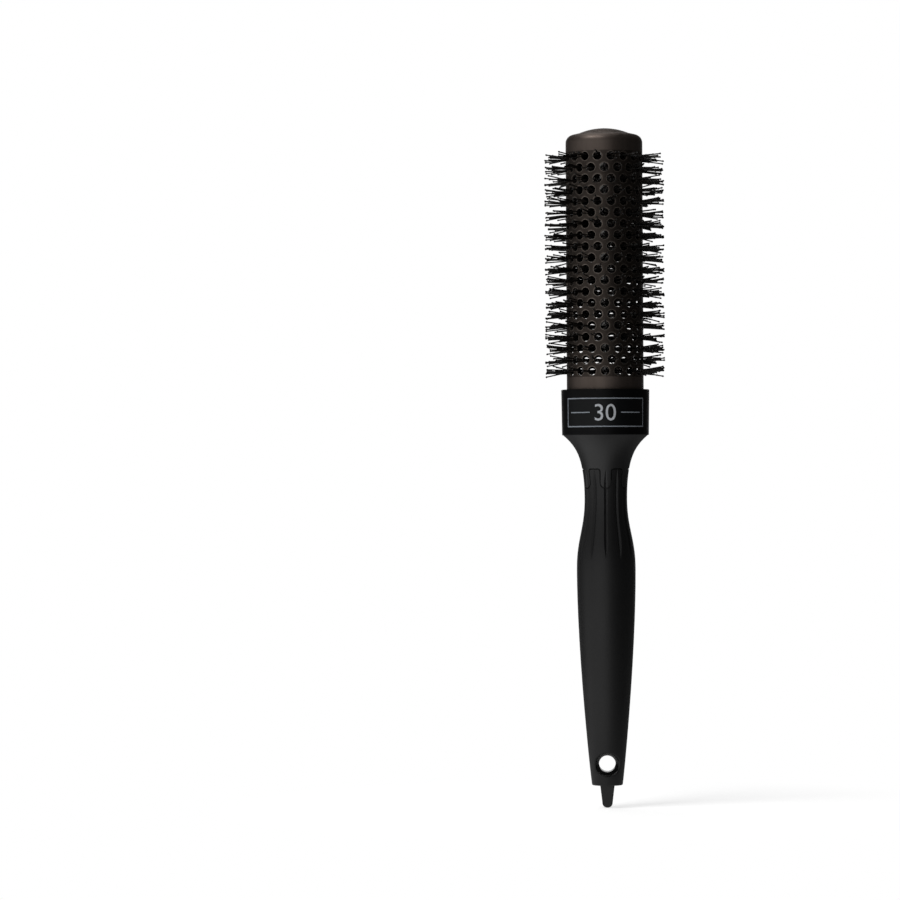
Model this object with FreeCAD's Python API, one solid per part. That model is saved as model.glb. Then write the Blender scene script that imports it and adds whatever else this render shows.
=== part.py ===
"""Round barrel brush: a perforated metal barrel with nylon bristles, on a two-part moulded handle.

The brush stands upright. The origin is the middle of the hanging hole, +Z runs up the handle and the
barrel to the end cap, and the front, which carries the size mark, faces -Y. All lengths are in millimetres.
"""

import FreeCAD, Part

import math
import os

from FreeCAD import Vector

# Barrel: a thin tube whose top edge is rolled inwards to hold the end cap.
barrel_radius = 15.0
barrel_wall = 0.9
shoulder_radius = 3.2
shoulder_slope = 13.0
lip_width = 4.4
lip_radius = barrel_radius - lip_width

# Perforation: rings of round holes, each ring turned by half a hole from the next.
hole_radius = 1.7
holes_per_ring = 18
ring_count = 20
ring_pitch = 4.39
lowest_ring_height = 7.0
band_over_rings = 5.99

# End cap: a dome that shows, a flange under the rolled lip and a boss for the stem.
dome_height = 2.2
dome_clearance = 0.3
cap_flange_width = 1.4
cap_flange_radius = lip_radius + cap_flange_width
cap_flange_thickness = 1.5
cap_boss_radius = 4.2
cap_boss_height = 4.4
cap_bore_depth = 5.0
cap_clearance = 0.05

# Stem: two wires twisted round each other.
wire_radius = 0.9
wire_gap = 0.04
twist_pitch = 9.0
stem_depth_in_handle = 30.0
stem_clearance = 0.1
stem_end_clearance = 0.6

# Bristles: a hub of crossing filaments round the stem, and one tuft through each hole of the ring.
bristle_length = 8.65
bristle_reach = barrel_radius + bristle_length
hub_wall = 1.7
hub_thickness = 1.4
tuft_root_radius = 0.45
tuft_mouth_radius = 0.85
tuft_mouth_rise = 0.3
filament_radius = 0.25
filament_root_depth = 0.6
filament_root_spread = 0.4
filament_tip_spread_round = 2.4
filament_tip_spread_high = 1.85
filaments_round_tuft = 4
filament_sides = 4
bundle_sides = 8
tuft_twist = 137.5

# Handle: its whole length, from the collar's face to its end.
handle_length = 154.35

# Collar: a ring on top of the core, which the barrel is pressed into.
collar_top_wall = 2.2
collar_bottom_wall = 1.95
collar_top_radius = barrel_radius + collar_top_wall
collar_bottom_radius = barrel_radius + collar_bottom_wall
collar_height = 17.8
collar_top_edge = 0.3
collar_bottom_edge = 0.35
barrel_seat_depth = 12.0
barrel_seat_clearance = 0.05
barrel_end_clearance = 0.2
spigot_rise = 2.0
spigot_wall = 1.8

# Handle outline below the collar: three curves that meet at the waist and at the grip's widest place.
# An arm is the length over which a curve leaves its end in the direction that it has there.
neck_step = 0.1
neck_radius = collar_bottom_radius - collar_bottom_edge - neck_step
neck_angle = 48.5
neck_arm = 6.5
waist_radius = 8.33
waist_drop = 24.8
waist_arm_above = 16.2
waist_arm_below = 11.9
grip_radius = 11.48
grip_drop = 52.3
grip_arm_above = 12.5
grip_arm_below = 31.5
tail_radius = 5.98
tail_angle = 7.9
tail_arm = 7.1
tail_edge = 0.5

# Soft grip: a skin over the core, with a wave-shaped upper edge and shallow flutes.
skin_thickness = 1.6
skin_clearance = 0.05
seam_drop = 30.8
seam_gap = 0.4
tongue_count = 6
tongue_width = 4.0
tongue_length = 7.5
tongue_corner = 1.2
flute_count = 12
flute_depth = 0.45
flute_half_angle = 60.0
flute_top_drop = 38.0
flute_bottom_drop = 53.5
flute_fade_radius = 30.0
flute_fade_length = 9.0
flute_run_out = 14.0
flute_cutter_height = 1.1

# Hanging hole, across the handle near its end: a bore from the back, which widens in a funnel at the front.
hole_to_handle_end = 8.35
hanging_bore_radius = 3.25
hanging_bore_wall = 1.25
bore_wall_length = 3.2
front_opening_radius = 4.4
funnel_length = 3.0
opening_edge = 0.6

# Sectioning tip at the handle's end.
tip_length = 8.85
tip_root_width = 5.65
tip_end_width = 4.05
tip_root_thickness = 3.2
tip_end_thickness = 2.2
tip_side_edge = 0.5
tip_root_edge = 0.35

# Levels, worked out from the sizes above.
handle_end_z = -hole_to_handle_end
collar_face_z = handle_end_z + handle_length
ledge_z = collar_face_z - collar_height
waist_z = ledge_z - waist_drop
grip_z = ledge_z - grip_drop
seam_z = collar_face_z - seam_drop
barrel_end_z = collar_face_z - barrel_seat_depth
lowest_ring_z = collar_face_z + lowest_ring_height
highest_ring_z = lowest_ring_z + (ring_count - 1) * ring_pitch
shoulder_z = highest_ring_z + band_over_rings
helix_radius = wire_radius + wire_gap / 2
stem_bore_radius = helix_radius + wire_radius + stem_clearance

os.makedirs("parts", exist_ok=True)


def line(start, end):
    """A straight edge between two points."""
    return Part.LineSegment(start, end).toShape()


def arc(start, middle, end):
    """A round edge through three points."""
    return Part.Arc(start, middle, end).toShape()


def curve(*poles):
    """A Bezier edge with these poles."""
    bezier = Part.BezierCurve()
    bezier.setPoles(list(poles))
    return bezier.toShape()


def at(radius, height):
    """A point of an outline that is turned about the brush's axis."""
    return Vector(radius, 0, height)


def polar(radius, angle, height):
    """A point at this angle round the axis, measured from the front towards +X."""
    turn = math.radians(angle)
    return Vector(radius * math.sin(turn), -radius * math.cos(turn), height)


def corner_round(corner, edge, turn_from, turn_to):
    """A quarter-round edge inside an outline's corner, between two directions given in degrees."""
    middle = (turn_from + turn_to) / 2
    ends = []
    for turn in (turn_from, middle, turn_to):
        swing = math.radians(turn)
        ends.append(corner + Vector(edge * math.cos(swing), 0, edge * math.sin(swing)))
    return arc(*ends)


def chain(points):
    """Straight edges from each point to the next."""
    return [line(start, end) for start, end in zip(points, points[1:])]


def revolved(edges):
    """The solid that a closed outline makes when it is turned about the brush's axis."""
    return Part.Face(Part.Wire(edges)).revolve(Vector(0, 0, 0), Vector(0, 0, 1), 360)


def turned(shape, angle):
    """A copy turned about the brush's axis."""
    copy = shape.copy()
    copy.rotate(Vector(0, 0, 0), Vector(0, 0, 1), angle)
    return copy


def shoulder_point(radius, turn):
    """A point on the shoulder's round, at this angle above the horizontal."""
    swing = math.radians(turn)
    centre = barrel_radius - shoulder_radius
    return at(centre + radius * math.cos(swing), shoulder_z + radius * math.sin(swing))


def shoulder_profile(inset):
    """The rolled top of the barrel on a skin this far inside: its start, middle, end and its lip."""
    radius = shoulder_radius - inset
    finish = 90 - shoulder_slope
    end = shoulder_point(radius, finish)
    rise = (end.x - lip_radius) * math.tan(math.radians(shoulder_slope))
    return shoulder_point(radius, 0), shoulder_point(radius, finish / 2), end, at(lip_radius, end.z + rise)


def ring_height(ring):
    """Height of a ring of holes, counted from 1 at the top."""
    return highest_ring_z - (ring - 1) * ring_pitch


def ring_turn(ring):
    """Angle of a ring's first hole: every second ring has a hole at the front."""
    return (ring % 2) * 180.0 / holes_per_ring


def barrel_tube():
    """Thin perforated tube with a shoulder rolled inwards at the top."""
    outer = shoulder_profile(0)
    inner = shoulder_profile(barrel_wall)
    edges = [
        line(at(barrel_radius, barrel_end_z), outer[0]),
        arc(*outer[:3]),
        line(outer[2], outer[3]),
        line(outer[3], inner[3]),
        line(inner[3], inner[2]),
        arc(inner[2], inner[1], inner[0]),
        line(inner[0], at(barrel_radius - barrel_wall, barrel_end_z)),
        line(at(barrel_radius - barrel_wall, barrel_end_z), at(barrel_radius, barrel_end_z)),
    ]
    punches = []
    for ring in range(1, ring_count + 1):
        for hole in range(holes_per_ring):
            angle = ring_turn(ring) + hole * 360.0 / holes_per_ring
            start = polar(barrel_radius - 2 * barrel_wall, angle, ring_height(ring))
            punches.append(Part.makeCylinder(hole_radius, 3 * barrel_wall, start, polar(1, angle, 0)))
    return revolved(edges).cut(punches)


def cap_levels():
    """Heights of the cap: the lip that its dome stands on, its flange's top and bottom, its boss's end."""
    lip_top = shoulder_profile(0)[3].z
    inside = shoulder_profile(barrel_wall)[2]
    rise = (inside.x - cap_flange_radius) * math.tan(math.radians(shoulder_slope))
    flange_top = inside.z + rise - cap_clearance
    flange_bottom = flange_top - cap_flange_thickness
    return lip_top, flange_top, flange_bottom, flange_bottom - cap_boss_height


def end_cap():
    """Domed cap behind the rolled lip, with a boss whose blind bore holds the stem's top end."""
    lip_top, flange_top, flange_bottom, boss_bottom = cap_levels()
    dome_radius = lip_radius - dome_clearance
    ball_radius = (dome_radius**2 + dome_height**2) / (2 * dome_height)
    ball_centre = at(0, lip_top + dome_height - ball_radius)
    ball = Part.makeSphere(ball_radius, ball_centre, Vector(1, 0, 0))
    plug = Part.makeCylinder(dome_radius, lip_top + dome_height - flange_bottom, at(0, flange_bottom))
    flange = Part.makeCylinder(cap_flange_radius, cap_flange_thickness, at(0, flange_bottom))
    boss = Part.makeCylinder(cap_boss_radius, cap_boss_height, at(0, boss_bottom))
    bore = Part.makeCylinder(stem_bore_radius, cap_bore_depth, at(0, boss_bottom))
    return plug.common(ball).multiFuse([flange, boss]).cut(bore)


def stem_wire(start_angle):
    """One of the two steel wires of the stem, wound round the brush's axis."""
    bottom_z = collar_face_z - stem_depth_in_handle
    top_z = cap_levels()[3] + cap_bore_depth - stem_end_clearance
    helix = Part.makeHelix(twist_pitch, top_z - bottom_z, helix_radius)
    climb = Vector(0, 2 * math.pi * helix_radius, twist_pitch)
    section = Part.Wire(Part.Circle(at(helix_radius, 0), climb, wire_radius).toShape())
    wire = Part.Wire(helix).makePipeShell([section], True, True)
    wire.translate(Vector(0, 0, bottom_z))
    return turned(wire, start_angle)


def flat_sided(start, end, start_radius, end_radius, sides):
    """Straight solid with flat sides between two points, which may taper."""
    way = (end - start).normalize()
    across = way.cross(Vector(0, 0, 1)).normalize()
    up = way.cross(across)
    rings = []
    for centre, radius in ((start, start_radius), (end, end_radius)):
        turns = [2 * math.pi * side / sides for side in range(sides + 1)]
        rings.append([centre + (across * math.cos(turn) + up * math.sin(turn)) * radius for turn in turns])
    outlines = list(rings)
    for side in range(sides):
        near, far = rings[0][side : side + 2], rings[1][side : side + 2]
        outlines.append(near + far[::-1] + near[:1])
    return Part.Solid(Part.Shell([Part.Face(Part.makePolygon(outline)) for outline in outlines]))


def filament(start, end):
    """One straight bristle between two points."""
    return flat_sided(start, end, filament_radius, filament_radius, filament_sides)


def tuft(twist):
    """One tuft along +X: a bundle that narrows to the hub, and filaments that fan out past the barrel."""
    mouth = at(barrel_radius + tuft_mouth_rise, 0)
    root = at(stem_bore_radius + hub_wall / 2, 0)
    bundle = flat_sided(root, mouth, tuft_root_radius, tuft_mouth_radius, bundle_sides)
    start = mouth - Vector(filament_root_depth, 0, 0)
    filaments = [filament(start, at(bristle_reach, 0))]
    for number in range(filaments_round_tuft):
        turn = math.radians(twist + number * 360.0 / filaments_round_tuft)
        root_spread = Vector(0, math.cos(turn), math.sin(turn)) * filament_root_spread
        tip_round = filament_tip_spread_round * math.cos(turn)
        tip_out = math.sqrt(bristle_reach**2 - tip_round**2)
        tip = Vector(tip_out, tip_round, filament_tip_spread_high * math.sin(turn))
        filaments.append(filament(start + root_spread, tip))
    return bundle.multiFuse(filaments)


def bristle_row():
    """The bristles of one ring of holes: their crossing round the stem, and one tuft for each hole."""
    outer_radius = stem_bore_radius + hub_wall
    below = Vector(0, 0, -hub_thickness / 2)
    hub = Part.makeCylinder(outer_radius, hub_thickness, below)
    bore = Part.makeCylinder(stem_bore_radius, hub_thickness, below)
    tufts = []
    for number in range(holes_per_ring):
        tufts.append(turned(tuft(number * tuft_twist), number * 360.0 / holes_per_ring - 90))
    return hub.cut(bore).multiFuse(tufts)


def outline_below_collar(inset):
    """The handle's outline from the neck to its end, with every radius smaller by the inset."""
    neck = at(neck_radius - inset, ledge_z)
    waist = at(waist_radius - inset, waist_z)
    widest = at(grip_radius - inset, grip_z)
    tail = at(tail_radius - inset, handle_end_z)
    up = Vector(0, 0, 1)
    neck_way = Vector(-math.sin(math.radians(neck_angle)), 0, -math.cos(math.radians(neck_angle)))
    tail_way = Vector(math.sin(math.radians(tail_angle)), 0, math.cos(math.radians(tail_angle)))
    return [
        curve(neck, neck + neck_way * neck_arm, waist + up * waist_arm_above, waist),
        curve(waist, waist - up * waist_arm_below, widest + up * grip_arm_above, widest),
        curve(widest, widest - up * grip_arm_below, tail + tail_way * tail_arm, tail),
    ]


def collar():
    """Ring that holds the barrel: a seat for the barrel's end, over a bore for the core's spigot."""
    side_top = collar_face_z - collar_top_edge
    side_bottom = ledge_z + collar_bottom_edge
    top_corner = at(collar_top_radius - collar_top_edge, side_top)
    bottom_corner = at(collar_bottom_radius - collar_bottom_edge, side_bottom)
    seat_radius = barrel_radius + barrel_seat_clearance
    seat_floor = barrel_end_z - barrel_end_clearance
    inside = [
        at(collar_bottom_radius - collar_bottom_edge, ledge_z),
        at(barrel_radius - barrel_wall, ledge_z),
        at(barrel_radius - barrel_wall, seat_floor),
        at(seat_radius, seat_floor),
        at(seat_radius, collar_face_z),
        at(collar_top_radius - collar_top_edge, collar_face_z),
    ]
    edges = chain(inside)
    edges.append(corner_round(top_corner, collar_top_edge, 90, 0))
    edges.append(line(at(collar_top_radius, side_top), at(collar_bottom_radius, side_bottom)))
    edges.append(corner_round(bottom_corner, collar_bottom_edge, 0, -90))
    return revolved(edges)


def handle_body():
    """The handle below the collar as one plain solid."""
    tail = at(tail_radius, handle_end_z)
    edges = outline_below_collar(0)
    edges += chain([tail, at(0, handle_end_z), at(0, ledge_z), at(neck_radius, ledge_z)])
    body = revolved(edges)
    rim = [edge for edge in body.Edges if on_tail_rim(edge)]
    return body.makeFillet(tail_edge, rim)


def on_tail_rim(edge):
    """True for the round edge at the handle's end."""
    if not isinstance(edge.Curve, Part.Circle):
        return False
    return abs(edge.Curve.Radius - tail_radius) < 1e-6 and abs(edge.Curve.Center.z - handle_end_z) < 1e-6


def flute_cutter():
    """A V-shaped cutter along the waist, in the plane y = 0, that leaves the surface at both ends."""
    reach = 2 * collar_top_radius
    kept_height = flute_bottom_drop - flute_top_drop
    slab = Part.makeBox(reach, reach, kept_height, Vector(0, -reach / 2, collar_face_z - flute_bottom_drop))
    kept = Part.Wire(outline_below_collar(flute_depth)[:2]).common(slab)
    edges = sorted(kept.Edges, key=lambda edge: -edge.CenterOfMass.z)
    top, top_way = end_and_way(edges[0], 1)
    bottom, bottom_way = end_and_way(edges[-1], -1)
    out = Vector(top_way.z, 0, -top_way.x)
    fade_swing = flute_fade_length / flute_fade_radius
    points = []
    for swing in (fade_swing, fade_swing / 2):
        along = top_way * flute_fade_radius * math.sin(swing)
        outwards = out * flute_fade_radius * (1 - math.cos(swing))
        points.append(top + along + outwards)
    start_out = out * math.cos(fade_swing) - top_way * math.sin(fade_swing)
    half_width = flute_cutter_height * math.tan(math.radians(flute_half_angle))
    across = Vector(0, half_width, 0)
    rim = points[0] + start_out * flute_cutter_height
    section = Part.Wire(chain([points[0], rim + across, rim - across, points[0]]))
    path = [arc(points[0], points[1], top)] + edges + [line(bottom, bottom + bottom_way * flute_run_out)]
    return Part.Wire(path).makePipeShell([section], True, False)


def end_and_way(edge, side):
    """An edge's upper (1) or lower (-1) end, and the direction in which it leaves the edge there."""
    ends = [edge.FirstParameter, edge.LastParameter]
    place = max(ends, key=lambda parameter: side * edge.valueAt(parameter).z)
    way = edge.tangentAt(place)
    if way.z * side < 0:
        way = way * -1
    return edge.valueAt(place), way


def wave_region(gap):
    """Everything above the wave-shaped seam: a disc, and tongues that hang from it. The gap lowers it."""
    half = tongue_width / 2 + gap
    corner = tongue_corner - gap
    top = seam_z - gap
    bottom = seam_z - tongue_length - gap
    over = seam_z + tongue_length
    swing = corner * math.sqrt(0.5)
    front = Vector(0, -collar_top_radius, 0)
    points = {
        "over_left": Vector(-half - corner, 0, over),
        "over_right": Vector(half + corner, 0, over),
        "left_rim": Vector(-half - corner, 0, top),
        "left_mid": Vector(-half - corner + swing, 0, top - corner + swing),
        "left_side": Vector(-half, 0, top - corner),
        "left_foot": Vector(-half, 0, bottom + half),
        "foot": Vector(0, 0, bottom),
        "right_foot": Vector(half, 0, bottom + half),
        "right_side": Vector(half, 0, top - corner),
        "right_mid": Vector(half + corner - swing, 0, top - corner + swing),
        "right_rim": Vector(half + corner, 0, top),
    }
    place = {name: point + front for name, point in points.items()}
    edges = [
        line(place["over_left"], place["left_rim"]),
        arc(place["left_rim"], place["left_mid"], place["left_side"]),
        line(place["left_side"], place["left_foot"]),
        arc(place["left_foot"], place["foot"], place["right_foot"]),
        line(place["right_foot"], place["right_side"]),
        arc(place["right_side"], place["right_mid"], place["right_rim"]),
        line(place["right_rim"], place["over_right"]),
        line(place["over_right"], place["over_left"]),
    ]
    reach = collar_top_radius - waist_radius + skin_thickness + skin_clearance
    tongue = Part.Face(Part.Wire(edges)).extrude(Vector(0, reach, 0))
    disc = Part.makeCylinder(2 * collar_top_radius, 2 * seam_drop, Vector(0, 0, top))
    tongues = [turned(tongue, number * 360.0 / tongue_count) for number in range(tongue_count)]
    return disc.multiFuse(tongues)


def across_handle(radius, start_y, length):
    """A cylinder through the origin's height, lying from the front to the back."""
    return Part.makeCylinder(radius, length, Vector(0, start_y, 0), Vector(0, 1, 0))


def hanging_hole():
    """Cutters of the hanging hole: the bore, open at the back, its funnel and the opening at the front."""
    throat_y = -bore_wall_length / 2
    mouth_y = throat_y - funnel_length
    bore = across_handle(hanging_bore_radius, mouth_y, grip_radius - mouth_y)
    place, forwards = Vector(0, throat_y, 0), Vector(0, -1, 0)
    funnel = Part.makeCone(hanging_bore_radius, front_opening_radius, funnel_length, place, forwards)
    front = across_handle(front_opening_radius, mouth_y - grip_radius, grip_radius)
    return [bore, funnel, front]


def shaped_body():
    """The handle's body with its flutes and with the rounded openings of the hanging hole."""
    cutter = flute_cutter()
    flutes = [turned(cutter, number * 360.0 / flute_count - 90) for number in range(flute_count)]
    body = handle_body().cut(flutes).cut(hanging_hole())
    rims = [edge for edge in body.Edges if on_opening_rim(edge)]
    return body.makeFillet(opening_edge, rims)


def on_opening_rim(edge):
    """True for an edge where an opening of the hanging hole meets the handle's surface."""
    middle = edge.valueAt((edge.FirstParameter + edge.LastParameter) / 2)
    radius = front_opening_radius if middle.y < 0 else hanging_bore_radius
    on_wall = abs(math.hypot(middle.x, middle.z) - radius) < 1e-3
    return on_wall and abs(middle.y) > bore_wall_length / 2 + funnel_length + 1e-3


def spine(clearance):
    """The core's part inside the soft grip, with the wall of the hanging hole, grown by the clearance."""
    inset = skin_thickness - clearance
    edges = outline_below_collar(inset)
    tail = at(tail_radius - inset, handle_end_z)
    top = at(0, ledge_z)
    edges += chain([tail, at(0, handle_end_z), top, at(neck_radius - inset, ledge_z)])
    half = bore_wall_length / 2 + clearance
    wall = across_handle(hanging_bore_radius + hanging_bore_wall + clearance, -half, 2 * half)
    return revolved(edges).fuse(wall)


def blade_profile(root_width, end_width, end_round, plane_x):
    """Outline of the tip seen from the front or the side: it tapers, and ends in a round."""
    half_root = plane_x * (root_width / 2)
    half_end = plane_x * (end_width / 2)
    root = Vector(0, 0, handle_end_z + skin_thickness)
    shoulder = Vector(0, 0, handle_end_z)
    foot = Vector(0, 0, handle_end_z - tip_length)
    cheek = foot + Vector(0, 0, end_round)
    edges = chain([cheek - half_end, shoulder - half_root, root - half_root, root + half_root])
    edges += chain([root + half_root, shoulder + half_root, cheek + half_end])
    return Part.Face(Part.Wire(edges + [arc(cheek + half_end, foot, cheek - half_end)]))


def sectioning_tip():
    """Tapered blade with a rounded end, which stands out of the handle's end."""
    across, along = Vector(1, 0, 0), Vector(0, 1, 0)
    front = blade_profile(tip_root_width, tip_end_width, tip_end_width / 2, across)
    side = blade_profile(tip_root_thickness, tip_end_thickness, tip_end_thickness / 4, along)
    front = front.extrude(along * tip_root_width)
    front.translate(along * (-tip_root_width / 2))
    side = side.extrude(across * tip_root_width)
    side.translate(across * (-tip_root_width / 2))
    blade = front.common(side)
    long_edges = [edge for edge in blade.Edges if below_handle(edge) and abs(rise_of(edge)) > tip_length / 2]
    return blade.makeFillet(tip_side_edge, long_edges)


def below_handle(edge):
    """True for an edge that lies below the handle's end."""
    return edge.CenterOfMass.z < handle_end_z


def rise_of(edge):
    """Height between an edge's two ends."""
    return edge.Vertexes[0].Z - edge.Vertexes[-1].Z


def spigot():
    """Hollow plug on top of the core, which centres the collar and the barrel, with a boss for the stem."""
    radius = barrel_radius - barrel_wall - barrel_seat_clearance
    height = collar_height + spigot_rise
    plug = Part.makeCylinder(radius, height, at(0, ledge_z))
    hollow = Part.makeCylinder(radius - spigot_wall, height, at(0, ledge_z))
    boss = Part.makeCylinder(stem_bore_radius + spigot_wall, height, at(0, ledge_z))
    return plug.cut(hollow).fuse(boss)


def handle_parts():
    """The hard core and the soft grip, which share the wave-shaped seam."""
    body = shaped_body()
    stem_floor = collar_face_z - stem_depth_in_handle - stem_end_clearance
    stem_bore_length = collar_face_z + 2 * spigot_rise - stem_floor
    stem_bore = Part.makeCylinder(stem_bore_radius, stem_bore_length, at(0, stem_floor))
    core = body.common(wave_region(0)).multiFuse([spine(0), sectioning_tip(), spigot()])
    core = core.cut(hanging_hole() + [stem_bore])
    grip = body.cut([wave_region(seam_gap), spine(skin_clearance)])
    return core, grip


def export(shape, name):
    """Writes one node's file."""
    shape.exportStep("parts/" + name + ".step")


def export_all():
    """Builds every piece and writes its file."""
    core, grip = handle_parts()
    export(collar(), "collar")
    export(core, "handle_core")
    export(grip, "soft_grip")
    export(barrel_tube(), "barrel_tube")
    export(end_cap(), "end_cap")
    export(stem_wire(0), "stem_wire_a")
    export(stem_wire(180), "stem_wire_b")
    row = bristle_row()
    for ring in range(1, ring_count + 1):
        placed = turned(row, ring_turn(ring))
        placed.translate(Vector(0, 0, ring_height(ring)))
        export(placed, "bristle_row_%02d" % ring)


export_all()
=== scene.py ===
"""Round barrel brush: the finish of every piece, its bristles and its size mark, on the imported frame."""

import math

import bmesh
import bpy
from mathutils import Euler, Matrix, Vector


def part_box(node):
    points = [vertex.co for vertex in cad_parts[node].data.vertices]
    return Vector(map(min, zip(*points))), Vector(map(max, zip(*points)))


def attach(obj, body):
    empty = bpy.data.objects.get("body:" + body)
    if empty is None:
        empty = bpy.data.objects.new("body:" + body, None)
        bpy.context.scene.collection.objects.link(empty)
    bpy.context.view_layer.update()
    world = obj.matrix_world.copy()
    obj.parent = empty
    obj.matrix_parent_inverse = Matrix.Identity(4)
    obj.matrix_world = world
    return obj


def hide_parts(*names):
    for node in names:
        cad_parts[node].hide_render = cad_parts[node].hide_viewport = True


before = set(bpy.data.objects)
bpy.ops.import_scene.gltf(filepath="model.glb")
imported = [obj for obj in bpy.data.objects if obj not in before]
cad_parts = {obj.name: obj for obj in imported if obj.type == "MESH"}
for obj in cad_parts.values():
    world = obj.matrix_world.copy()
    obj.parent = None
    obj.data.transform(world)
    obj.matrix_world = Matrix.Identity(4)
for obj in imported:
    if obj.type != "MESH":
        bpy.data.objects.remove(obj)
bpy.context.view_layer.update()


# ---- Barrel ----
# An aluminium tube, punched with rings of holes and rolled over at the top, which passes the dryer's heat
# through to the hair. It is anodised gunmetal, and its lower end is pressed into the collar.

barrel_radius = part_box("barrel_tube")[1].x
holes_per_ring = 18
ring_count = 20
hole_radius = 0.0017
rim_width = 0.00045


def row_name(ring):
    """The node of one ring of bristles, counted from 1 at the top."""
    return "bristle_row_%02d" % ring


def ring_height(ring):
    """Height of a ring of holes."""
    low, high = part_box(row_name(ring))
    return (low.z + high.z) / 2


lowest_ring = ring_height(ring_count)
ring_pitch = (ring_height(1) - lowest_ring) / (ring_count - 1)


def colour(code):
    """An sRGB hex colour as linear red, green, blue and alpha."""
    shares = [int(code[place : place + 2], 16) / 255 for place in (1, 3, 5)]
    linear = [share / 12.92 if share <= 0.04045 else ((share + 0.055) / 1.055) ** 2.4 for share in shares]
    return (*linear, 1.0)


def add(tree, kind, inputs=None, **settings):
    """Adds a node with its settings. An input is a value, a socket, or a node whose first output is meant."""
    node = tree.nodes.new(kind)
    for setting, value in settings.items():
        setattr(node, setting, value)
    for name, value in (inputs or {}).items():
        if isinstance(value, bpy.types.Node):
            value = value.outputs[0]
        if isinstance(value, bpy.types.NodeSocket):
            tree.links.new(value, node.inputs[name])
        else:
            node.inputs[name].default_value = value
    return node


def new_finish(name, base, metallic, roughness):
    """A material's node tree and its shader, with the numbers that are the same all over the surface."""
    material = bpy.data.materials.new(name)
    material.use_nodes = True
    tree = material.node_tree
    shader = tree.nodes["Principled BSDF"]
    shader.inputs["Base Color"].default_value = colour(base)
    shader.inputs["Metallic"].default_value = metallic
    shader.inputs["Roughness"].default_value = roughness
    return material, tree, shader


def dress(node, material):
    """Gives a CAD node this material in each of its slots."""
    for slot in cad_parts[node].material_slots:
        slot.material = material


def drawn_grain(tree, line_width, line_length, place):
    """Noise drawn out along Z: fine lines as they are left by drawing or polishing along the tube."""
    stretch = add(tree, "ShaderNodeMapping", {"Vector": place, "Scale": (1, 1, line_width / line_length)})
    return add(tree, "ShaderNodeTexNoise", {"Vector": stretch, "Scale": 1 / line_width, "Detail": 3.0})


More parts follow.
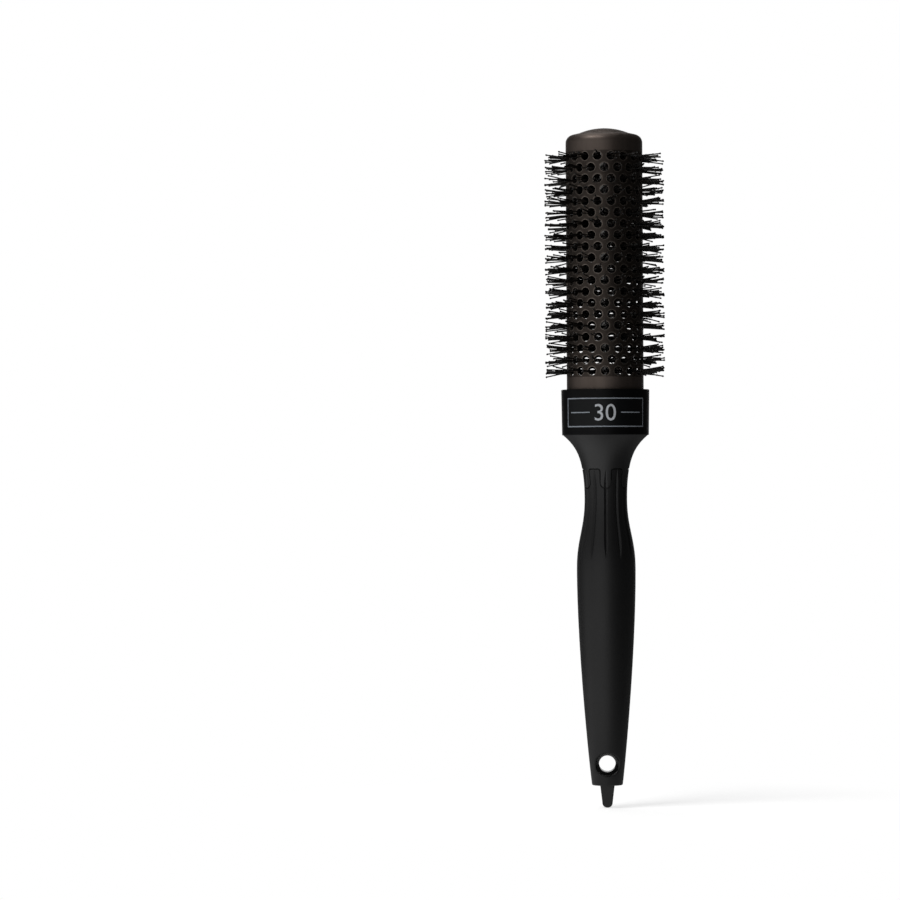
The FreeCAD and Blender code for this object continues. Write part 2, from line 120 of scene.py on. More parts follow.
def anodised_barrel():
    """Gunmetal anodised aluminium, satin, drawn along the tube: painted shade darkens the punched band, a
    painted highlight rims each hole.
    """
    material, tree, shader = new_finish("anodised_aluminium_gunmetal", "#605752", 1.0, 0.5)
    place = add(tree, "ShaderNodeTexCoord").outputs["Object"]
    axes = add(tree, "ShaderNodeSeparateXYZ", {0: place})
    away = add(tree, "ShaderNodeMath", {0: axes.outputs["Y"], 1: -1.0}, operation="MULTIPLY")
    angle = add(tree, "ShaderNodeMath", {0: axes.outputs["X"], 1: away}, operation="ARCTAN2")
    turns = add(tree, "ShaderNodeMath", {0: angle, 1: holes_per_ring / math.tau}, operation="MULTIPLY")
    scaled = {0: axes.outputs["Z"], 1: 1 / ring_pitch, 2: -lowest_ring / ring_pitch}
    row = add(tree, "ShaderNodeMath", scaled, operation="MULTIPLY_ADD")
    nearest = add(tree, "ShaderNodeMath", {0: row}, operation="ROUND")
    stagger = add(tree, "ShaderNodeMath", {0: nearest, 1: 0.5}, operation="MULTIPLY")
    shifted = add(tree, "ShaderNodeMath", {0: turns, 1: stagger}, operation="ADD")
    off_round = add(tree, "ShaderNodeMath", {0: shifted, 1: 0.5, 2: -0.5}, operation="WRAP")
    off_high = add(tree, "ShaderNodeMath", {0: row, 1: nearest}, operation="SUBTRACT")
    off_hole = add(tree, "ShaderNodeCombineXYZ", {0: off_round, 1: off_high})
    hole_spacing = math.tau * barrel_radius / holes_per_ring
    in_metres = {0: off_hole, 1: (hole_spacing, ring_pitch, 0)}
    in_metres = add(tree, "ShaderNodeVectorMath", in_metres, operation="MULTIPLY")
    from_hole = add(tree, "ShaderNodeVectorMath", {0: in_metres}, operation="LENGTH").outputs["Value"]
    edge = {"Value": from_hole, "From Min": hole_radius + rim_width, "From Max": hole_radius}
    rim = add(tree, "ShaderNodeMapRange", edge, interpolation_type="SMOOTHSTEP")
    above = add(tree, "ShaderNodeMath", {0: row, 1: -0.5}, operation="GREATER_THAN")
    below = add(tree, "ShaderNodeMath", {0: row, 1: ring_count - 0.5}, operation="LESS_THAN")
    among = add(tree, "ShaderNodeMath", {0: above, 1: below}, operation="MULTIPLY")
    rim = add(tree, "ShaderNodeMath", {0: rim, 1: among}, operation="MULTIPLY")
    lines = drawn_grain(tree, 0.0005, 0.03, place)
    bands = drawn_grain(tree, 0.004, 0.12, place)
    plain = {0: bands.outputs["Fac"], 6: colour("#554c46"), 7: colour("#706660")}
    plain = add(tree, "ShaderNodeMix", plain, data_type="RGBA").outputs[2]
    # Painted shade: the punched band among the rows takes darker colours, standing in for the bristles'
    # shadow and dark reflections on it.
    punched_painted_shade = {0: bands.outputs["Fac"], 6: colour("#3a3430"), 7: colour("#4c4540")}
    punched_painted_shade = add(tree, "ShaderNodeMix", punched_painted_shade, data_type="RGBA").outputs[2]
    tone_and_painted_shade = add(tree, "ShaderNodeMix", {0: among, 6: plain, 7: punched_painted_shade}, data_type="RGBA").outputs[2]
    # Painted highlight: a paler colour round every hole's edge, where its bevel would catch the light.
    with_painted_rim_highlight = add(tree, "ShaderNodeMix", {0: rim, 6: tone_and_painted_shade, 7: colour("#7d746d")}, data_type="RGBA").outputs[2]
    tree.links.new(with_painted_rim_highlight, shader.inputs["Base Color"])
    worn = {"Value": lines.outputs["Fac"], "To Min": 0.42, "To Max": 0.6}
    tree.links.new(add(tree, "ShaderNodeMapRange", worn).outputs[0], shader.inputs["Roughness"])
    fall = add(tree, "ShaderNodeMath", {0: lines.outputs["Fac"], 1: 0.06, 2: rim}, operation="MULTIPLY_ADD")
    bump = add(tree, "ShaderNodeBump", {"Height": fall, "Distance": 0.0001, "Strength": 0.5}, invert=True)
    tree.links.new(bump.outputs[0], shader.inputs["Normal"])
    return material


dress("barrel_tube", anodised_barrel())


# ---- End cap ----
# A domed plug behind the rolled lip of the barrel, turned from aluminium and anodised with it.
# It closes the barrel and holds the top end of the stem.


def turned_cap():
    """Gunmetal anodised aluminium with the fine rings that turning leaves round the dome."""
    material, tree, shader = new_finish("anodised_aluminium_turned", "#5a4e46", 1.0, 0.42)
    place = add(tree, "ShaderNodeTexCoord").outputs["Object"]
    rings = {"Vector": place, "Scale": 900.0, "Distortion": 1.5, "Detail": 2.0}
    rings = add(tree, "ShaderNodeTexWave", rings, wave_type="RINGS", rings_direction="Z")
    worn = {"Value": rings.outputs["Fac"], "To Min": 0.36, "To Max": 0.48}
    tree.links.new(add(tree, "ShaderNodeMapRange", worn).outputs[0], shader.inputs["Roughness"])
    return material


dress("end_cap", turned_cap())


# ---- Stem ----
# Two bright steel wires twisted round each other. They grip the bristles between their turns
# and run from the cap down into the handle's core.


def drawn_wire():
    """Drawn steel wire: bright, with scratches along it from the die."""
    material, tree, shader = new_finish("drawn_steel_wire", "#b4b2ae", 1.0, 0.3)
    place = add(tree, "ShaderNodeTexCoord").outputs["Object"]
    lines = drawn_grain(tree, 0.0002, 0.004, place)
    worn = {"Value": lines.outputs["Fac"], "To Min": 0.22, "To Max": 0.42}
    tree.links.new(add(tree, "ShaderNodeMapRange", worn).outputs[0], shader.inputs["Roughness"])
    return material


steel = drawn_wire()
dress("stem_wire_a", steel)
dress("stem_wire_b", steel)


# ---- Bristles ----
# Black nylon filament, heat-set, with a melted ball on every tip so that it doesn't scratch. Each ring's
# filaments are held in the twisted stem, cross inside the barrel and come out in one tuft through each hole.

filament_radius = 0.00026
tip_ball_radius = 0.0004
most_in_hole = 4
fewest_in_hole = 3
root_radius = 0.0022
root_scatter = 0.0005
tuft_share_of_hole = 0.25
filament_share_of_hole = 0.6
longest_cut = 0.0034
cut_power = 4.0
reach_margin = 0.00062
tuft_lean = 0.0004
filament_lean = 0.0014
curl_power = 1.2
bristle_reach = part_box(row_name(2))[1].y


def nylon():
    """Nylon 6.12 filament: dark brown-black, smooth and a little glossy, no two quite the same shade."""
    material, tree, shader = new_finish("nylon_filament_black", "#0f0d0c", 0.0, 0.42)
    shader.inputs["Specular IOR Level"].default_value = 0.35
    shader.inputs["IOR"].default_value = 1.53
    shade = add(tree, "ShaderNodeAttribute", attribute_name="shade").outputs["Fac"]
    tones = {0: shade, 6: colour("#050505"), 7: colour("#191512")}
    tones = add(tree, "ShaderNodeMix", tones, data_type="RGBA")
    tree.links.new(tones.outputs[2], shader.inputs["Base Color"])
    return material


def bristle_tree(material):
    """Geometry Nodes that grow one ring of bristles, with random numbers for each hole and filament."""
    tree = bpy.data.node_groups.new("bristle_ring", "GeometryNodeTree")
    for name, kind in (
        ("Height", "Float"), ("First hole", "Float"), ("Holes", "Int"), ("Most in a hole", "Int"),
        ("Fewest in a hole", "Int"), ("Barrel radius", "Float"), ("Hole radius", "Float"), ("Reach", "Float"),
        ("Root radius", "Float"), ("Filament radius", "Float"), ("Ball radius", "Float"), ("Seed", "Int"),
    ):
        tree.interface.new_socket(name=name, in_out="INPUT", socket_type="NodeSocket" + kind)
    tree.interface.new_socket(name="Bristles", in_out="OUTPUT", socket_type="NodeSocketGeometry")
    sizes = add(tree, "NodeGroupInput").outputs
    math_node, vector_node = "ShaderNodeMath", "ShaderNodeVectorMath"

    # Which hole a filament belongs to, and its number in that hole.
    count = add(tree, math_node, {0: sizes["Holes"], 1: sizes["Most in a hole"]}, operation="MULTIPLY")
    index = add(tree, "GeometryNodeInputIndex")
    share = add(tree, math_node, {0: index, 1: sizes["Most in a hole"]}, operation="DIVIDE")
    hole = add(tree, math_node, {0: share}, operation="FLOOR")
    number = add(tree, math_node, {0: index, 1: sizes["Most in a hole"]}, operation="MODULO")

    def draw(low, high, one_for, step):
        """A random number between two others, one for each hole or each filament."""
        seed = add(tree, math_node, {0: sizes["Seed"], 1: float(step)}, operation="ADD")
        node = add(tree, "FunctionNodeRandomValue", data_type="FLOAT")
        node.inputs[2].default_value = low
        node.inputs[3].default_value = high
        tree.links.new(one_for.outputs[0], node.inputs["ID"])
        tree.links.new(seed.outputs[0], node.inputs["Seed"])
        return node.outputs[1]

    def scatter(radius, one_for, step):
        """A random place in a round patch across the hole: Y is round the barrel, Z is up."""
        root = add(tree, math_node, {0: draw(0, 1, one_for, step)}, operation="SQRT")
        out = add(tree, math_node, {0: root, 1: radius}, operation="MULTIPLY")
        swing = draw(0, math.tau, one_for, step + 1)
        cosine = add(tree, math_node, {0: swing}, operation="COSINE")
        sine = add(tree, math_node, {0: swing}, operation="SINE")
        flat = add(tree, "ShaderNodeCombineXYZ", {1: cosine, 2: sine})
        return add(tree, vector_node, {0: flat, "Scale": out}, operation="SCALE")

    fewest = sizes["Fewest in a hole"]
    spare = add(tree, math_node, {0: sizes["Most in a hole"], 1: fewest}, operation="SUBTRACT")
    spare = add(tree, math_node, {0: spare, 1: 1.0}, operation="ADD")
    filled = add(tree, math_node, {0: draw(0, 1, hole, 1), 1: spare, 2: fewest}, operation="MULTIPLY_ADD")
    kept = add(tree, math_node, {0: number, 1: filled}, operation="LESS_THAN")

    # The filament in its own hole's frame: X points out through the middle of the hole.
    room = add(tree, math_node, {0: sizes["Hole radius"], 1: sizes["Filament radius"]}, operation="SUBTRACT")
    tuft_room = add(tree, math_node, {0: room, 1: tuft_share_of_hole}, operation="MULTIPLY")
    own_room = add(tree, math_node, {0: room, 1: filament_share_of_hole}, operation="MULTIPLY")
    places = {0: scatter(tuft_room, hole, 2), 1: scatter(own_room, index, 4)}
    mouth = add(tree, vector_node, places, operation="ADD")
    start = scatter(root_scatter, index, 6)
    wall = add(tree, "ShaderNodeCombineXYZ", {0: sizes["Barrel radius"]})
    centre = add(tree, "ShaderNodeCombineXYZ", {0: sizes["Root radius"]})
    mouth = add(tree, vector_node, {0: mouth, 1: wall}, operation="ADD")
    root = add(tree, vector_node, {0: start, 1: centre}, operation="ADD")
    cut = add(tree, math_node, {0: draw(0, 1, index, 8), 1: cut_power}, operation="POWER")
    short = add(tree, math_node, {0: cut, 1: longest_cut}, operation="MULTIPLY")
    margin = add(tree, math_node, {0: short, 1: reach_margin}, operation="ADD")
    length = add(tree, math_node, {0: sizes["Reach"], 1: margin}, operation="SUBTRACT")
    beyond = add(tree, math_node, {0: length, 1: sizes["Root radius"]}, operation="SUBTRACT")
    inside = add(tree, math_node, {0: sizes["Barrel radius"], 1: sizes["Root radius"]}, operation="SUBTRACT")
    stretch = add(tree, math_node, {0: beyond, 1: inside}, operation="DIVIDE")
    run = add(tree, vector_node, {0: mouth, 1: root}, operation="SUBTRACT")
    run = add(tree, vector_node, {0: run, "Scale": stretch}, operation="SCALE")
    tip = add(tree, vector_node, {0: root, 1: run}, operation="ADD")

    # The same filament in the brush's frame.
    step = add(tree, math_node, {0: math.tau, 1: sizes["Holes"]}, operation="DIVIDE")
    swing = add(tree, math_node, {0: hole, 1: step, 2: sizes["First hole"]}, operation="MULTIPLY_ADD")
    level = add(tree, "ShaderNodeCombineXYZ", {2: sizes["Height"]})
    placed = []
    for point in (root, tip):
        turned = {"Vector": point, "Angle": swing}
        turned = add(tree, "ShaderNodeVectorRotate", turned, rotation_type="Z_AXIS")
        placed.append(add(tree, vector_node, {0: turned, 1: level}, operation="ADD"))
    root, tip = placed
    way = add(tree, vector_node, {0: tip, 1: root}, operation="SUBTRACT")
    whole = add(tree, vector_node, {0: way}, operation="LENGTH").outputs["Value"]
    aim = add(tree, "FunctionNodeAlignRotationToVector", {"Vector": way}, axis="Z")

    store = "GeometryNodeStoreNamedAttribute"
    points = add(tree, "GeometryNodePoints", {"Count": count, "Position": tip})
    points = add(tree, store, {"Geometry": points, "Name": "shade"}, data_type="FLOAT")
    tree.links.new(draw(0, 1, index, 9), points.inputs["Value"])
    lean = {0: scatter(tuft_lean, hole, 10), 1: scatter(filament_lean, index, 12)}
    lean = add(tree, vector_node, lean, operation="ADD")
    lean = add(tree, "ShaderNodeVectorRotate", {"Vector": lean, "Angle": swing}, rotation_type="Z_AXIS")
    points = add(tree, store, {"Geometry": points, "Name": "lean"}, data_type="FLOAT_VECTOR")
    tree.links.new(lean.outputs[0], points.inputs["Value"])

    # The shaft is one long thin prism from root to tip, and the ball is a small sphere on its end.
    shaft = {"Vertices": 5, "Side Segments": 4, "Radius": sizes["Filament radius"], "Depth": 1.0}
    shaft = add(tree, "GeometryNodeMeshCylinder", shaft, fill_type="NONE")
    lowered = {"Geometry": shaft.outputs["Mesh"], "Translation": (0, 0, -0.5)}
    lowered = add(tree, "GeometryNodeTransform", lowered)
    scale = add(tree, "ShaderNodeCombineXYZ", {0: 1.0, 1: 1.0, 2: whole})
    ball = add(tree, "GeometryNodeMeshUVSphere", {"Segments": 6, "Rings": 4, "Radius": sizes["Ball radius"]})
    common = {"Points": points, "Selection": kept, "Rotation": aim}
    shafts = add(tree, "GeometryNodeInstanceOnPoints", {**common, "Instance": lowered, "Scale": scale})
    balls = add(tree, "GeometryNodeInstanceOnPoints", {**common, "Instance": ball.outputs["Mesh"]})
    both = add(tree, "GeometryNodeJoinGeometry")
    tree.links.new(balls.outputs[0], both.inputs[0])
    tree.links.new(shafts.outputs[0], both.inputs[0])
    real = add(tree, "GeometryNodeRealizeInstances", {0: both})

    # Past the barrel a filament bends away a little, more towards its tip.
    position = add(tree, "GeometryNodeInputPosition")
    flat = add(tree, vector_node, {0: position, 1: (1, 1, 0)}, operation="MULTIPLY")
    radius = add(tree, vector_node, {0: flat}, operation="LENGTH").outputs["Value"]
    past = {"Value": radius, "From Min": sizes["Barrel radius"], "From Max": sizes["Reach"]}
    past = add(tree, "ShaderNodeMapRange", past)
    curl = add(tree, math_node, {0: past, 1: curl_power}, operation="POWER")
    lean = add(tree, "GeometryNodeInputNamedAttribute", {"Name": "lean"}, data_type="FLOAT_VECTOR")
    offset = add(tree, vector_node, {0: lean, "Scale": curl}, operation="SCALE")
    bent = add(tree, "GeometryNodeSetPosition", {"Geometry": real, "Offset": offset})
    smooth = add(tree, "GeometryNodeSetShadeSmooth", {"Geometry": bent})
    black = add(tree, "GeometryNodeSetMaterial", {"Geometry": smooth, "Material": material})
    add(tree, "NodeGroupOutput", {0: black})
    return tree


def grow(name, tree, values):
    """Runs a Geometry Nodes tree with these inputs and keeps its result as a plain mesh."""
    piece = bpy.data.objects.new(name, bpy.data.meshes.new(name))
    bpy.context.scene.collection.objects.link(piece)
    modifier = piece.modifiers.new("grow", "NODES")
    modifier.node_group = tree
    for item in tree.interface.items_tree:
        if item.in_out == "INPUT":
            modifier[item.identifier] = values[item.name]
    shown = piece.evaluated_get(bpy.context.evaluated_depsgraph_get())
    mesh = bpy.data.meshes.new_from_object(shown)
    piece.modifiers.clear()
    piece.data = mesh
    return piece


black_nylon = nylon()
ring_tree = bristle_tree(black_nylon)
front = -math.pi / 2
for ring in range(1, ring_count + 1):
    row = grow(row_name(ring) + "_filaments", ring_tree, {
        "Height": ring_height(ring),
        "First hole": front + (ring % 2) * math.pi / holes_per_ring,
        "Holes": holes_per_ring,
        "Most in a hole": most_in_hole,
        "Fewest in a hole": fewest_in_hole,
        "Barrel radius": barrel_radius,
        "Hole radius": hole_radius,
        "Reach": bristle_reach,
        "Root radius": root_radius,
        "Filament radius": filament_radius,
        "Ball radius": tip_ball_radius,
        "Seed": 40 + 100 * ring,
    })
    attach(row, "root")
    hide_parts(row_name(ring))


# ---- Collar ----
# A moulded ring of glass-filled nylon round the barrel's foot, blacker than the handle under it.
# Its front carries a printed keyline with the barrel's size inside.

collar_low, collar_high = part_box("collar")


def moulded_collar():
    """Black glass-filled nylon: deep black with hardly any highlight, and a faint flow of fibres in it."""
    material, tree, shader = new_finish("glass_filled_nylon_black", "#0a0a0b", 0.0, 0.43)
    shader.inputs["Specular IOR Level"].default_value = 0.1
    place = add(tree, "ShaderNodeTexCoord").outputs["Object"]
    flow = add(tree, "ShaderNodeTexNoise", {"Vector": place, "Scale": 1 / 0.0012, "Detail": 4.0})
    worn = {"Value": flow.outputs["Fac"], "To Min": 0.36, "To Max": 0.5}
    tree.links.new(add(tree, "ShaderNodeMapRange", worn).outputs[0], shader.inputs["Roughness"])
    bump = add(tree, "ShaderNodeBump", {"Height": flow.outputs["Fac"], "Distance": 0.00002, "Strength": 0.3})
    tree.links.new(bump.outputs[0], shader.inputs["Normal"])
    return material


dress("collar", moulded_collar())


def printed_ink(name, tint, roughness):
    """Screen-printed ink: a thin matt film, slightly mottled by the mesh that it was pressed through."""
    material, tree, shader = new_finish(name, tint, 0.0, roughness)
    shader.inputs["Specular IOR Level"].default_value = 0.2
    place = add(tree, "ShaderNodeTexCoord").outputs["Object"]
    mottle = add(tree, "ShaderNodeTexNoise", {"Vector": place, "Scale": 1 / 0.0003, "Detail": 2.0})
    worn = {"Value": mottle.outputs["Fac"], "To Min": roughness - 0.1, "To Max": roughness + 0.1}
    tree.links.new(add(tree, "ShaderNodeMapRange", worn).outputs[0], shader.inputs["Roughness"])
    return material


def side_radius(height):
    """Radius of the collar's side, which narrows a little downwards."""
    points = [vertex.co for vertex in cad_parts["collar"].data.vertices]
    middle = (collar_low.z + collar_high.z) / 2
    top = max((point.xy.length, point.z) for point in points if point.z > middle)
    bottom = max((point.xy.length, point.z) for point in points if point.z < middle)
    share = (height - bottom[1]) / (top[1] - bottom[1])
    return bottom[0] + share * (top[0] - bottom[0])


def rectangles(name, corners):
    """A flat mesh of upright rectangles, each given by its left, bottom, right and top."""
    mesh = bpy.data.meshes.new(name)
    points = []
    for left, bottom, right, top in corners:
        points += [(left, 0, bottom), (right, 0, bottom), (right, 0, top), (left, 0, top)]
    faces = [tuple(range(first, first + 4)) for first in range(0, len(points), 4)]
    mesh.from_pydata(points, [], faces)
    return mesh


def wrapped(name, mesh, lift, film, material):
    """Bends a flat print round the collar's front at this lift over its side, and makes it a film."""
    shape = bmesh.new()
    shape.from_mesh(mesh)
    half = max(abs(vertex.co.x) for vertex in shape.verts)
    for number in range(-int(half / strip), int(half / strip) + 1):
        everything = shape.verts[:] + shape.edges[:] + shape.faces[:]
        bmesh.ops.bisect_plane(shape, geom=everything, plane_co=(number * strip, 0, 0), plane_no=(1, 0, 0))
    for vertex in shape.verts:
        radius = side_radius(vertex.co.z) + lift
        angle = vertex.co.x / side_radius(vertex.co.z)
        vertex.co.x, vertex.co.y = radius * math.sin(angle), -radius * math.cos(angle)
    shape.to_mesh(mesh)
    shape.free()
    piece = bpy.data.objects.new(name, mesh)
    bpy.context.scene.collection.objects.link(piece)
    mesh.materials.clear()
    mesh.materials.append(material)
    solid = piece.modifiers.new("film", "SOLIDIFY")
    solid.thickness = film
    solid.offset = -1
    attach(piece, "root")
    return piece


def printed_number(text, height, centre_z):
    """A number in plain upright figures as a flat mesh, centred on the front."""
    curve = bpy.data.curves.new("size_number", "FONT")
    curve.body = text
    curve.align_x = "CENTER"
    curve.resolution_u = 6
    curve.size = 1.0
    words = bpy.data.objects.new("size_number", curve)
    mesh = bpy.data.meshes.new_from_object(words)
    bpy.data.objects.remove(words)
    low = min(vertex.co.y for vertex in mesh.vertices)
    high = max(vertex.co.y for vertex in mesh.vertices)
    middle = (min(vertex.co.x for vertex in mesh.vertices) + max(vertex.co.x for vertex in mesh.vertices)) / 2
    scale = height / (high - low)
    for vertex in mesh.vertices:
        x, y = vertex.co.x, vertex.co.y
        vertex.co = ((x - middle) * scale, 0, centre_z + (y - (low + high) / 2) * scale)
    return mesh


strip = 0.0005
label_height = 0.0113
label_half_angle = math.radians(58.5)
label_line = 0.00042
label_drop = 0.0002
label_z = (collar_low.z + collar_high.z) / 2 - label_drop
number_height = 0.0064
field_lift, field_film = 0.00001, 0.00002
print_lift, print_film = 0.00003, 0.00003
half_width = label_half_angle * side_radius(label_z)
label_top = label_z + label_height / 2
label_bottom = label_z - label_height / 2
keyline = rectangles("keyline", [
    (-half_width, label_top - label_line, half_width, label_top),
    (-half_width, label_bottom, half_width, label_bottom + label_line),
    (-half_width, label_bottom + label_line, -half_width + label_line, label_top - label_line),
    (half_width - label_line, label_bottom + label_line, half_width, label_top - label_line),
])
rule_gap = 0.0062
rule_end = half_width - 0.0022
rules = rectangles("rules", [
    (-rule_end, label_z - label_line / 2, -rule_gap, label_z + label_line / 2),
    (rule_gap, label_z - label_line / 2, rule_end, label_z + label_line / 2),
])
field = rectangles("label_field", [(-half_width, label_bottom, half_width, label_top)])
silver = printed_ink("screen_ink_silver", "#b4bcc6", 0.5)
white_ink = printed_ink("screen_ink_white", "#eef2f8", 0.5)
black_ink = printed_ink("screen_ink_black", "#07090b", 0.45)
number = printed_number("30", number_height, label_z)
wrapped("label_field", field, field_lift, field_film, black_ink)
wrapped("label_keyline", keyline, print_lift, print_film, silver)
wrapped("label_rules", rules, print_lift, print_film, silver)
wrapped("label_number", number, print_lift, print_film, white_ink)


# ---- Handle core ----
# One hard moulding of polypropylene: the neck under the collar, the spine inside the grip, the wall of the
# hanging hole and the sectioning tip. The stem and the barrel are held in its upper end.


# Painted shade: near the hanging hole's axis, the core and the grip take a near-black colour for the deep
# hole's shade, and a glossier finish.
hole_edge = 0.0048
hole_fade = 0.0002
hole_painted_shade = "#030303"
hole_roughness = 0.22


def inside_hole(tree, place):
    """1 on the wall of the hanging hole and 0 round it, by the distance from the hole's axis along Y."""
    across = add(tree, "ShaderNodeVectorMath", {0: place, 1: (1, 0, 1)}, operation="MULTIPLY")
    from_axis = add(tree, "ShaderNodeVectorMath", {0: across}, operation="LENGTH").outputs["Value"]
    edge = {"Value": from_axis, "From Min": hole_edge, "From Max": hole_edge - hole_fade}
    return add(tree, "ShaderNodeMapRange", edge)


def moulded_core():
    """Black polypropylene: a sparked mould spreads its highlights, the hole's pin leaves a gloss, and painted
    shade blackens the hole.
    """
    material, tree, shader = new_finish("polypropylene_matt_black", "#121213", 0.0, 0.45)
    shader.inputs["Specular IOR Level"].default_value = 0.5
    place = add(tree, "ShaderNodeTexCoord").outputs["Object"]
    wall = inside_hole(tree, place)
    # Painted shade: the hanging hole's wall is near-black.
    tones = {0: wall, 6: colour("#121213"), 7: colour(hole_painted_shade)}
    tones = add(tree, "ShaderNodeMix", tones, data_type="RGBA")
    tree.links.new(tones.outputs[2], shader.inputs["Base Color"])
    polish = add(tree, "ShaderNodeMapRange", {"Value": wall, "To Min": 0.45, "To Max": hole_roughness})
    tree.links.new(polish.outputs[0], shader.inputs["Roughness"])
    spark = add(tree, "ShaderNodeTexNoise", {"Vector": place, "Scale": 1 / 0.00025, "Detail": 3.0})
    bump = add(tree, "ShaderNodeBump", {"Height": spark.outputs["Fac"], "Distance": 0.00003, "Strength": 0.4})
    tree.links.new(bump.outputs[0], shader.inputs["Normal"])
    return material


dress("handle_core", moulded_core())


# ---- Soft grip ----
# A skin of thermoplastic rubber moulded over the core, with a wave-shaped upper edge and shallow flutes
# at the waist for the fingers to turn the brush by.


def soft_touch():
    """Thermoplastic rubber: a shade blacker than the core, satin, with a dusty sheen at its edges and painted
    shade in its hole.
    """
    material, tree, shader = new_finish("thermoplastic_rubber_black", "#0d0d0e", 0.0, 0.45)
    shader.inputs["Specular IOR Level"].default_value = 0.38
    shader.inputs["Sheen Weight"].default_value = 0.04
    shader.inputs["Sheen Roughness"].default_value = 0.4
    place = add(tree, "ShaderNodeTexCoord").outputs["Object"]
    grain = add(tree, "ShaderNodeTexNoise", {"Vector": place, "Scale": 1 / 0.0003, "Detail": 4.0})
    handled = add(tree, "ShaderNodeTexNoise", {"Vector": place, "Scale": 1 / 0.02, "Detail": 2.0})
    worn = {"Value": handled.outputs["Fac"], "To Min": 0.4, "To Max": 0.5}
    worn = add(tree, "ShaderNodeMapRange", worn)
    wall = inside_hole(tree, place)
    # Painted shade: the hanging hole's wall is near-black.
    tones = {0: wall, 6: colour("#0d0d0e"), 7: colour(hole_painted_shade)}
    tones = add(tree, "ShaderNodeMix", tones, data_type="RGBA")
    tree.links.new(tones.outputs[2], shader.inputs["Base Color"])
    polish = add(tree, "ShaderNodeMix", {0: wall, 2: worn, 3: hole_roughness})
    tree.links.new(polish.outputs[0], shader.inputs["Roughness"])
    bump = {"Height": grain.outputs["Fac"], "Distance": 0.00003, "Strength": 0.35}
    bump = add(tree, "ShaderNodeBump", bump)
    tree.links.new(bump.outputs[0], shader.inputs["Normal"])
    return material


dress("soft_grip", soft_touch())


# ---- Set ----
# A white table before a white backdrop. A low wide window stands at the front left with a weaker one at the
# left, a small lamp above throws the shadow, and another lights the back edges. The camera has a long lens.

floor_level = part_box("handle_core")[0].z
table_grey = "#9c9c9c"
table_seen = "#e4e4e4"
table_lift = 0.68


def white_table():
    """Matt white that keeps the brush's shadow close by and further out shines as bright as the backdrop.

    The brush mirrors its white at the left and in front only, and otherwise takes it for a plain grey table.
    """
    material, tree, shader = new_finish("white_table", table_grey, 0.0, 1.0)
    place = add(tree, "ShaderNodeTexCoord").outputs["Object"]
    from_brush = add(tree, "ShaderNodeVectorMath", {0: place}, operation="LENGTH").outputs["Value"]
    far = {"Value": from_brush, "From Min": 0.05, "From Max": 0.16}
    far = add(tree, "ShaderNodeMapRange", far, interpolation_type="SMOOTHSTEP")
    rays = add(tree, "ShaderNodeLightPath").outputs
    tint = {0: rays["Is Camera Ray"], 6: colour(table_grey), 7: colour(table_seen)}
    tint = add(tree, "ShaderNodeMix", tint, data_type="RGBA")
    tree.links.new(tint.outputs[2], shader.inputs["Base Color"])
    axes = add(tree, "ShaderNodeSeparateXYZ", {0: place}).outputs
    mirrored = rays["Is Glossy Ray"]
    for axis, dark, light in (("X", 0.16, -0.1), ("Y", 0.15, -0.05)):
        fade = {"Value": axes[axis], "From Min": dark, "From Max": light}
        fade = add(tree, "ShaderNodeMapRange", fade, interpolation_type="SMOOTHSTEP")
        mirrored = add(tree, "ShaderNodeMath", {0: mirrored, 1: fade}, operation="MULTIPLY").outputs[0]
    seen = add(tree, "ShaderNodeMath", {0: rays["Is Camera Ray"], 1: mirrored}, operation="MAXIMUM")
    seen = add(tree, "ShaderNodeMath", {0: seen, 1: rays["Is Transmission Ray"]}, operation="MAXIMUM")
    lift = add(tree, "ShaderNodeMath", {0: seen, 1: table_lift}, operation="MULTIPLY")
    glow = add(tree, "ShaderNodeEmission", {"Color": (1, 1, 1, 1), "Strength": lift})
    near = add(tree, "ShaderNodeAddShader", {0: shader, 1: glow})
    white = add(tree, "ShaderNodeEmission", {"Color": (1, 1, 1, 1), "Strength": 1.0})
    shining = add(tree, "ShaderNodeMath", {0: far, 1: seen}, operation="MULTIPLY")
    mix = add(tree, "ShaderNodeMixShader", {0: shining, 1: near, 2: white})
    tree.links.new(mix.outputs[0], tree.nodes["Material Output"].inputs["Surface"])
    return material


def table():
    """A wide disc that the brush's tip stands on."""
    bpy.ops.mesh.primitive_circle_add(vertices=96, radius=3.0, fill_type="NGON", location=(0, 0, floor_level))
    disc = bpy.context.object
    disc.name = "table"
    disc.data.materials.append(white_table())


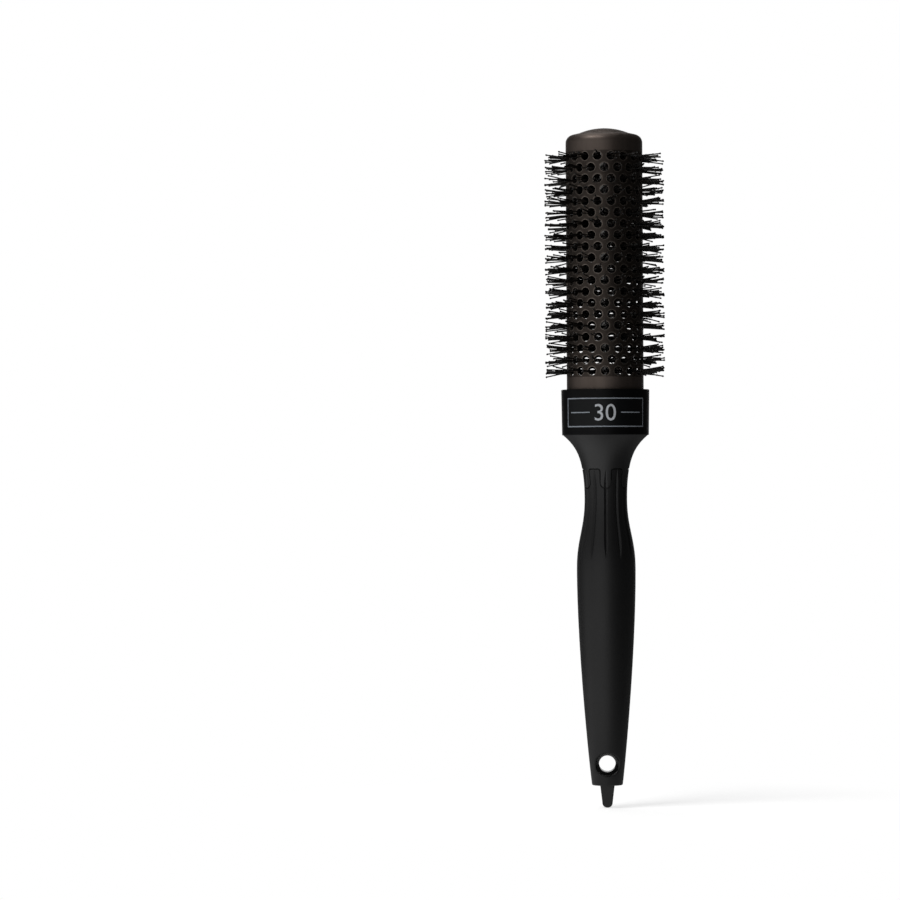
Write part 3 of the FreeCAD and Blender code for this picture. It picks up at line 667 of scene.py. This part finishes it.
def backdrop():
    """White behind the brush for the camera and for reflections, and a soft grey light on the rest."""
    world = bpy.data.worlds.new("studio")
    world.use_nodes = True
    bpy.context.scene.world = world
    tree = world.node_tree
    rays = add(tree, "ShaderNodeLightPath").outputs
    place = add(tree, "ShaderNodeTexCoord").outputs["Generated"]
    depth = add(tree, "ShaderNodeSeparateXYZ", {0: place}).outputs["Y"]
    behind = {"Value": depth, "From Min": 0.86, "From Max": 0.99, "To Min": 0.045, "To Max": 0.9}
    behind = add(tree, "ShaderNodeMapRange", behind, interpolation_type="SMOOTHSTEP")
    ambient = 0.05
    lit = add(tree, "ShaderNodeMix", {0: rays["Is Glossy Ray"], 2: ambient, 3: behind})
    straight = {0: rays["Is Camera Ray"], 1: rays["Is Transmission Ray"]}
    straight = add(tree, "ShaderNodeMath", straight, operation="MAXIMUM")
    strength = add(tree, "ShaderNodeMix", {0: straight, 2: lit, 3: 1.0})
    background = tree.nodes["Background"]
    background.inputs["Color"].default_value = (1, 1, 1, 1)
    tree.links.new(strength.outputs[0], background.inputs["Strength"])


def softbox(name, place, target, width, height, watts):
    """A rectangular lamp that faces a point of the brush."""
    lamp = bpy.data.lights.new(name, "AREA")
    lamp.shape = "RECTANGLE"
    lamp.size = width
    lamp.size_y = height
    lamp.energy = watts
    holder = bpy.data.objects.new(name, lamp)
    bpy.context.scene.collection.objects.link(holder)
    holder.visible_camera = False
    holder.location = place
    holder.rotation_euler = (Vector(target) - Vector(place)).to_track_quat("-Z", "Y").to_euler()


def camera():
    """A long lens, level with the handle's waist, which sees the brush right of the middle."""
    distance = 1.564
    lens = bpy.data.cameras.new("camera")
    lens.lens = 160
    lens.sensor_width = 36
    holder = bpy.data.objects.new("camera", lens)
    bpy.context.scene.collection.objects.link(holder)
    holder.location = (0, -distance, 0.10993)
    tilt, lean, turn = 90.47, 0.3, 2.23
    holder.rotation_euler = Euler([math.radians(value) for value in (tilt, lean, turn)])
    bpy.context.scene.camera = holder


middle = (0, 0, 0.11)
table()
backdrop()
softbox("window", (-0.6, -1.7, 0.32), middle, 1.9, 0.75, 3.4)
softbox("side window", (-1.5, -0.26, 0.4), middle, 1.6, 1.0, 1.4)
softbox("overhead", (-0.5, -0.5, 1.25), middle, 0.5, 0.5, 7)
softbox("rim", (-0.2, 0.5, 1.4), middle, 0.8, 0.8, 3)
camera()
bpy.context.scene.view_settings.view_transform = "Standard"
